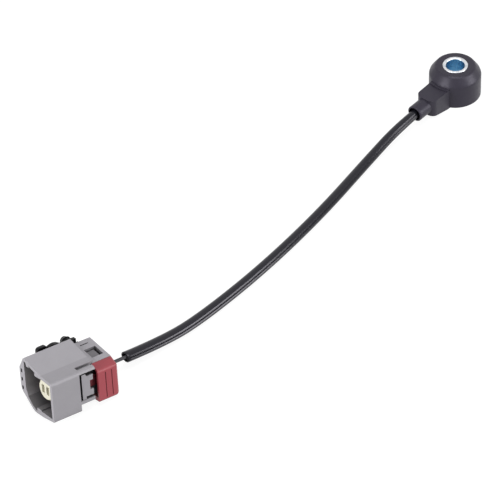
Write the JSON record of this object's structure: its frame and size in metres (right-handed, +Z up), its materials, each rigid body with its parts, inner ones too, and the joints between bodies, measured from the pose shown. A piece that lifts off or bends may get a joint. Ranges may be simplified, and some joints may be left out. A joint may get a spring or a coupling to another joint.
{
  "type": "engine knock sensor",
  "caption": "Flat-response engine knock sensor: a round moulded head on a bolt-through steel sleeve, a sheathed lead and a keyed sealed connector with a sliding lock and harness clip.",
  "frame": {"origin": "centre of the bolt bore at the seat face of the sleeve", "axes": "+Z up the bore, +X from the head along its neck to the lead"},
  "size_m": [0.2859, 0.0329, 0.0227],
  "materials": {
    "head_plastic": "fine moulded texture",
    "sleeve_steel": "zinc plated, blue passivated in the bore",
    "insulating_film": "satin",
    "contact_brass": "satin",
    "piezo_ceramic": "matt, silvered faces",
    "mass_brass": "turned",
    "plain_steel": "plain",
    "sheath_black": "semi-gloss",
    "wire_black": "semi-gloss",
    "connector_grey": "fine moulded texture",
    "tower_cream": "satin",
    "seal_silicone": "matt",
    "terminal_tin": "tinned",
    "lock_red": "satin",
    "clip_black": "gloss"
  },
  "bodies": {
    "sensor": {"clamp_nut": "plain_steel", "connector_housing": "connector_grey", "face_seal": "seal_silicone", "ground_terminal": "terminal_tin", "ground_wire_head_end": "wire_black", "ground_wire_plug_end": "wire_black", "ground_wire_seal": "seal_silicone", "harness_clip": "clip_black", "head_housing": "head_plastic", "lead_sheath": "sheath_black", "lower_contact_washer": "contact_brass", "lower_insulator": "insulating_film", "piezo_ring": "piezo_ceramic", "seismic_mass": "mass_brass", "signal_terminal": "terminal_tin", "signal_wire_head_end": "wire_black", "signal_wire_plug_end": "wire_black", "signal_wire_seal": "seal_silicone", "spring_washer": "plain_steel", "steel_sleeve": "sleeve_steel", "terminal_tower": "tower_cream", "upper_contact_washer": "contact_brass", "upper_insulator": "insulating_film"},
    "lock": {"connector_lock": "lock_red"}
  },
  "joints": [
    {"name": "lock_slide", "type": "slide", "parent": "sensor", "child": "lock", "axis": [-0.9687, 0.2131, -0.127], "range_m": [0, 0.004]}
  ]
}
